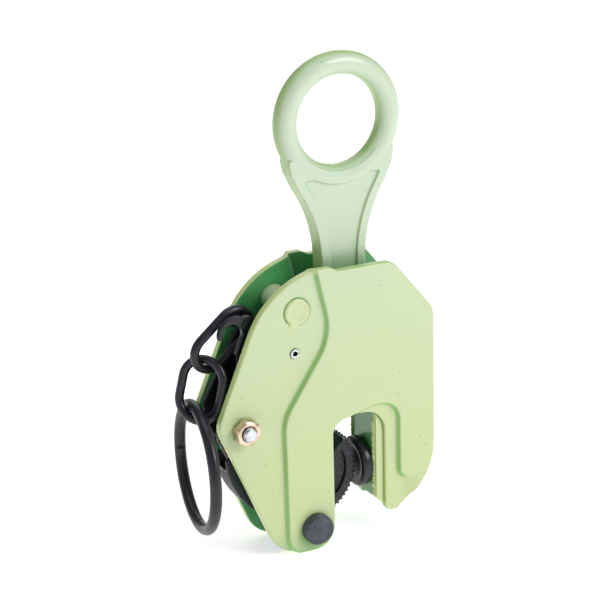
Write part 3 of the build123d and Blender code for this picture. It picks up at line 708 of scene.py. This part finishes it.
lower_dir = Vector((-sin(LOWER_LEAN), 0.0, -cos(LOWER_LEAN)))
lower_side = Vector((cos(LOWER_YAW), sin(LOWER_YAW), 0.0))
lower_side = (lower_side - lower_dir * lower_side.dot(lower_dir)).normalized()
lower_centre = SEAT + lower_dir * (LOWER_LENGTH / 2 - WIRE_R)
lower = loop.make("lower_chain_link_wire", placed(lower_centre, lower_side, lower_dir),
                  Length=(LOWER_LENGTH + GROWN) * MM, Width=(LOWER_WIDTH + GROWN) * MM,
                  Wire=WIRE_SEEN * MM, Finish=wire_black)
fit(lower, wire_black, "black_wire", "chain_link_lower")
RING_YAW = radians(-98.0)
PULL_MID_R, PULL_BAR_R = 34.5, 3.25
pull_low, pull_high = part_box("pull_ring")
pull_centre = (pull_low + pull_high) / 2 / MM
pull_across = 2 * (PULL_MID_R + PULL_BAR_R) * MM
pull = loop.make("pull_ring_bar", placed(pull_centre, (cos(RING_YAW), sin(RING_YAW), 0), (0, 0, 1)),
                 Length=pull_across, Width=pull_across, Wire=PULL_BAR_R * MM, Finish=wire_black)
fit(pull, wire_black, "black_wire", "pull_ring")

# %% [markdown]
# ### Wire wound into a coil
#
# The lock spring is wound close, turn on turn, and ends in a loop at each side. The thread on the
# bolt's end follows the same path with a much thinner wire that lies on the core.

# %% Coil recipe
coil = Recipe("wound_wire", Radius=FLOAT, Height=FLOAT, Turns=FLOAT, Wire=FLOAT, Finish=STUFF)
helix = coil.node("GeometryNodeCurveSpiral", {}, {
    "Resolution": 28, "Rotations": coil.take("Turns"), "Start Radius": coil.take("Radius"),
    "End Radius": coil.take("Radius"), "Height": coil.take("Height")})
STRAND_SIDES = 10
strand = coil.node("GeometryNodeCurvePrimitiveCircle", {"mode": "RADIUS"},
                   {0: STRAND_SIDES, "Radius": coil.take("Wire")})
wound = coil.node("GeometryNodeCurveToMesh", {}, {"Curve": helix, "Profile Curve": strand, "Fill Caps": True})
coil.end(wound)

# %% Lock spring in two halves
horn_low, horn_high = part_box("horn_hook_pin")
tail_low, tail_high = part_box("tail_hook_pin")
HORN = (horn_low + horn_high) / 2 / MM
TAIL = (tail_low + tail_high) / 2 / MM
HORN.y = TAIL.y = 0.0
SPRING_WIRE_R, COIL_R, EYELET_R = 0.7, 3.3, 3.05
TURN_PITCH = 2.05 * SPRING_WIRE_R
spring_run = TAIL - HORN
spring_dir = spring_run.normalized()
coil_start = HORN + spring_dir * EYELET_R
half_coil = spring_run.length / 2 - EYELET_R
middle = (HORN + TAIL) / 2


def spring_half(name, hook, start):
    """Half of the coil with the eyelet that hooks on a pin."""
    turns = coil.make(name + "_turns", placed(start, (0, 1, 0), spring_dir.cross(Vector((0, 1, 0)))),
                      Radius=COIL_R * MM, Height=half_coil * MM, Turns=round(half_coil / TURN_PITCH),
                      Wire=SPRING_WIRE_R * MM, Finish=spring_wire)
    side = 2 * (EYELET_R + SPRING_WIRE_R) * MM
    eyelet = loop.make(name + "_eyelet", placed(hook, (1, 0, 0), (0, 0, 1)), Length=side, Width=side,
                       Wire=SPRING_WIRE_R * MM, Finish=spring_wire)
    return joined(name, [turns, eyelet])


upper_half = spring_half("lock_spring_upper_half", HORN, coil_start)
lower_half = spring_half("lock_spring_lower_half", TAIL, middle)
coil_end = TAIL - spring_dir * EYELET_R
for half, body_a, body_b, start, end in ((upper_half, "lock_lever", "clamp_body", coil_start, middle),
                                         (lower_half, "clamp_body", "cam", middle, coil_end)):
    half.data.materials.clear()
    half.data.materials.append(spring_wire)
    tuple(start * MM)
    tuple(end * MM)
    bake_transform(half)
    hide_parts("lock_spring")
    print(half.name, "bends between", body_a, "and", body_b)

# %% [markdown]
# ### Teeth on the cam
#
# The gripping face is milled along and across, which leaves blunt points in rows. One tooth is a
# short cone with eight sides. A grid of points is wrapped on the curved face, each point gets a cone
# that stands along the radius, and the copies are made real. The engineering part carries plain
# straight teeth, so those are cut back to their roots first.

# %% Cam body
ARC = Vector((-24.3, 0.0, -198.2))
ROOT_R, ROOT_MARGIN, TOOTH_H = 27.0, 0.05, 1.6
ARC_LOW, ARC_HIGH = -60.0, 39.0
cam = copy_of("cam", "cam_forging")
for vertex in cam.data.vertices:
    offset = vertex.co / MM - ARC
    reach = (offset.x ** 2 + offset.z ** 2) ** 0.5
    if reach > ROOT_R + ROOT_MARGIN and offset.x > 0:
        vertex.co.x = (ARC.x + offset.x * ROOT_R / reach) * MM
        vertex.co.z = (ARC.z + offset.z * ROOT_R / reach) * MM
weld = bmesh.new()
weld.from_mesh(cam.data)
bmesh.ops.remove_doubles(weld, verts=weld.verts, dist=1e-5)
weld.to_mesh(cam.data)
weld.free()
softened(cam, 0.45 * MM, 3)
fit(cam, forged_black, "black_oxide", "cam")

# %% Cam teeth
teeth = Recipe("teeth_on_an_arc", Radius=FLOAT, Middle=FLOAT, Span=FLOAT, Width=FLOAT, Along=WHOLE,
               Across=WHOLE, Tooth=FLOAT, Finish=STUFF)
grid = teeth.node("GeometryNodeMeshGrid", {}, {
    "Size X": teeth.take("Span"), "Size Y": teeth.take("Width"),
    "Vertices X": teeth.take("Along"), "Vertices Y": teeth.take("Across")})
spot = teeth.node("GeometryNodeInputPosition")
angle = teeth.node("ShaderNodeSeparateXYZ", {}, {0: spot}, out=0) + teeth.take("Middle")
width_at = teeth.node("ShaderNodeSeparateXYZ", {}, {0: spot}, out=1)
level_x = teeth.node("ShaderNodeMath", {"operation": "COSINE"}, {0: angle})
level_z = teeth.node("ShaderNodeMath", {"operation": "SINE"}, {0: angle})
outward = teeth.node("ShaderNodeCombineXYZ", {}, {0: level_x, 1: 0.0, 2: level_z})
wrapped = teeth.node("ShaderNodeCombineXYZ", {}, {0: level_x * teeth.take("Radius"), 1: width_at,
                                                  2: level_z * teeth.take("Radius")})
aim = teeth.node("FunctionNodeAlignRotationToVector", {"axis": "Z"}, {"Vector": outward})
# The direction has to be stored on the points before they move, because the field reads their place.
kept = teeth.node("GeometryNodeStoreNamedAttribute", {"data_type": "QUATERNION", "domain": "POINT"},
                  {"Geometry": grid, "Name": "aim", "Value": aim})
seats = teeth.node("GeometryNodeSetPosition", {}, {"Geometry": kept, "Position": wrapped})
point = teeth.node("GeometryNodeMeshCone", {}, {
    "Vertices": 8, "Side Segments": 2, "Radius Top": teeth.take("Tooth") * 0.25,
    "Radius Bottom": teeth.take("Tooth") * 0.98, "Depth": teeth.take("Tooth") * 1.32})
kept_aim = teeth.node("GeometryNodeInputNamedAttribute", {"data_type": "QUATERNION"}, {"Name": "aim"})
rows = teeth.node("GeometryNodeInstanceOnPoints", {},
                  {"Points": seats, "Instance": point, "Rotation": kept_aim})
teeth.end(rows)
TOOTH_ROWS, TOOTH_COLUMNS, TEETH_WIDTH = 17, 5, 12.8
ARC_MARGIN, TOOTH_SINK = 4.0, 0.45
MIDDLE, SPAN = radians((ARC_LOW + ARC_HIGH) / 2), radians(ARC_HIGH - ARC_LOW - ARC_MARGIN)
cam_teeth = teeth.make("cam_teeth", Matrix.Translation(ARC * MM), Radius=(ROOT_R - TOOTH_SINK) * MM,
                       Middle=MIDDLE, Span=SPAN, Width=TEETH_WIDTH * MM, Along=TOOTH_ROWS,
                       Across=TOOTH_COLUMNS, Tooth=TOOTH_H * MM, Finish=forged_black)
cam_teeth.data.shade_smooth()
cam_teeth.data.set_sharp_from_angle(angle=radians(35))
fit(cam_teeth, forged_black, "black_oxide", body="cam")

# %% [markdown]
# ### Weld beads on the jaw block
#
# The block is welded to the plates along its front edges. A hand laid bead is a row of overlapping
# drops, so one drop is repeated along a line and a seeded random value makes each a little larger
# or smaller.

# %% Weld beads
bead_row = Recipe("weld_bead", Run=FLOAT, Count=WHOLE, Size=FLOAT, Seed=WHOLE, Finish=STUFF)
spots = bead_row.node("GeometryNodeMeshLine", {"mode": "OFFSET"}, {
    "Count": bead_row.take("Count"), "Offset": bead_row.node("ShaderNodeCombineXYZ", {}, {
        0: 0.0, 1: 0.0, 2: bead_row.take("Run") / bead_row.take("Count")})})
wander = bead_row.node("FunctionNodeRandomValue", {"data_type": "FLOAT"}, {
    2: 0.85, 3: 1.2, "Seed": bead_row.take("Seed")}, out=1)
blob = bead_row.node("GeometryNodeMeshIcoSphere", {}, {"Radius": bead_row.take("Size"), "Subdivisions": 3})
blobs = bead_row.node("GeometryNodeInstanceOnPoints", {},
                      {"Points": spots, "Instance": blob, "Scale": wander})
bead_row.end(blobs)
BEAD_X, BEAD_Y, BEAD_LOW, BEAD_RUN = 13.3, 12.3, -217.0, 46.0
DROPS, DROP_R, DROP_SEED = 32, 1.35, 7
rows_of_weld = [bead_row.make("bead", Matrix.Translation(Vector((BEAD_X, side * BEAD_Y, BEAD_LOW)) * MM),
                              Run=BEAD_RUN * MM, Count=DROPS, Size=DROP_R * MM, Seed=DROP_SEED,
                              Finish=weld_enamel)
                for side in (1, -1)]
fit(joined("jaw_block_weld_beads", rows_of_weld), weld_enamel, "paint", body="clamp_body")

# %% [markdown]
# ## Lever, nut and small hardware
#
# The lever is blanked and folded, with all its edges broken, so it is recast like the plates. The
# nut is a hexagon bar with its corners turned off at thirty degrees, which leaves the curved lines
# on its sides. That surface is worked out directly: the chamfer is lower where the corner is
# further out. The rest is small turned or cut steel with a narrow bevel.

# %% Lock lever
lever = recast("lock_lever", "lock_lever_pressing", 0.42 * MM, 3)
fit(lever, lever_black, "black_oxide", "lock_lever")


# %% Chamfered nut
NUT_STEPS, CHAMFER_SLOPE, FACE_SHARE = 96, 0.577, 0.93


def chamfered_nut(name, flats, bore, thick, origin, outward, turn):
    """Hexagon nut with both faces turned off at thirty degrees."""
    face_r = flats / 2 * FACE_SHARE
    shell = bmesh.new()
    loops = []
    for kind in ("bore_low", "sink_low", "face_low", "side_low",
                 "side_high", "face_high", "sink_high", "bore_high"):
        row = []
        for i in range(NUT_STEPS):
            around = tau * i / NUT_STEPS
            off = (around % (tau / 6)) - tau / 12
            corner = flats / 2 / cos(off)
            drop = max(0.0, corner - face_r) * CHAMFER_SLOPE
            radius, height = {
                "bore_low": (bore, 0.5), "sink_low": (bore + 0.5, 0.0), "face_low": (face_r, 0.0),
                "side_low": (corner, drop * 0.5), "side_high": (corner, thick - drop),
                "face_high": (face_r, thick), "sink_high": (bore + 0.7, thick), "bore_high": (bore, thick - 0.7)}[kind]
            spin = around + turn
            row.append(shell.verts.new(Vector((radius * cos(spin), outward * height, radius * sin(spin)))))
        loops.append(row)
    for low, high in zip(loops, loops[1:] + loops[:1]):
        for i in range(NUT_STEPS):
            k = (i + 1) % NUT_STEPS
            shell.faces.new((low[i], low[k], high[k], high[i]))
    bmesh.ops.recalc_face_normals(shell, faces=shell.faces)
    mesh = bpy.data.meshes.new(name)
    shell.to_mesh(mesh)
    shell.free()
    mesh.transform(Matrix.Translation(Vector(origin) * MM) @ Matrix.Scale(MM, 4))
    mesh.shade_smooth()
    mesh.set_sharp_from_angle(angle=radians(20))
    return new_object(name, mesh)


nut_low, nut_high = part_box("lever_nut")
BOLT_AXIS = ((nut_low.x + nut_high.x) / 2 / MM, nut_high.y / MM, (nut_low.z + nut_high.z) / 2 / MM)
NUT_THICK = (nut_high.y - nut_low.y) / MM
FLATS, NUT_BORE_R, NUT_TURN = 13.0, 4.05, radians(-20.0)
nut = chamfered_nut("lever_nut_hexagon", FLATS, NUT_BORE_R, NUT_THICK, BOLT_AXIS, -1, NUT_TURN)
fit(nut, yellow_zinc, "yellow_zinc", "lever_nut")

# %% Bolt with its thread
bolt = bevelled("lever_bolt", "lever_bolt_bar", 0.25 * MM)
fit(bolt, bright_zinc, "bright_steel", "lever_bolt")
bolt_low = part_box("lever_bolt")[0]
THREAD_R, THREAD_PITCH, THREAD_WIRE_R = 3.72, 1.25, 0.38
THREAD_OVERLAP, THREAD_TIP = 0.4, 0.9
thread_start = (BOLT_AXIS[0], nut_low.y / MM + THREAD_OVERLAP, BOLT_AXIS[2])
THREAD_RUN = nut_low.y / MM - bolt_low.y / MM - THREAD_TIP
thread = coil.make("lever_bolt_thread", placed(thread_start, (1, 0, 0), (0, 0, 1)),
                   Radius=THREAD_R * MM, Height=THREAD_RUN * MM, Turns=THREAD_RUN / THREAD_PITCH,
                   Wire=THREAD_WIRE_R * MM, Finish=bright_zinc)
fit(thread, bright_zinc, "bright_steel", body="clamp_body")

# %% Small hardware
HARDWARE = (
    ("spring_pin", "spring_pin_roll", 0.25, bright_zinc, "bright_steel"),
    ("front_link", "front_link_bar", 0.5, machined_black, "black_oxide"),
    ("rear_link", "rear_link_bar", 0.5, machined_black, "black_oxide"),
    ("ring_link_pin", "ring_link_pin_bar", 0.4, machined_black, "black_oxide"),
    ("ring_pin_clips", "ring_pin_clip_pair", 0.15, spring_wire, "black_oxide"),
    ("cam_link_pin", "cam_link_pin_bar", 0.4, machined_black, "black_oxide"),
    ("tail_hook_pin", "tail_hook_pin_bar", 0.25, bright_zinc, "bright_steel"),
    ("horn_hook_pin", "horn_hook_pin_bar", 0.25, bright_zinc, "bright_steel"),
    ("chain_anchor_pin", "chain_anchor_pin_bar", 0.3, lever_black, "black_oxide"),
    ("cam_spacers", "cam_spacer_pair", 0.3, machined_black, "black_oxide"),
    ("cam_pin_washer", "cam_pin_washer_disc", 0.3, bright_zinc, "bright_steel"),
    ("split_pin", "split_pin_wire", 0.2, bright_zinc, "bright_steel"),
    ("lever_sleeve", "lever_sleeve_tube", 0.3, machined_black, "black_oxide"),
    ("lever_washer", "lever_washer_disc", 0.25, yellow_zinc, "yellow_zinc"),
    ("jaw_retaining_ring", "jaw_retaining_ring_clip", 0.15, spring_wire, "black_oxide"),
)
for node, name, width, material, slot in HARDWARE:
    fit(bevelled(node, name, width * MM), material, slot, node)
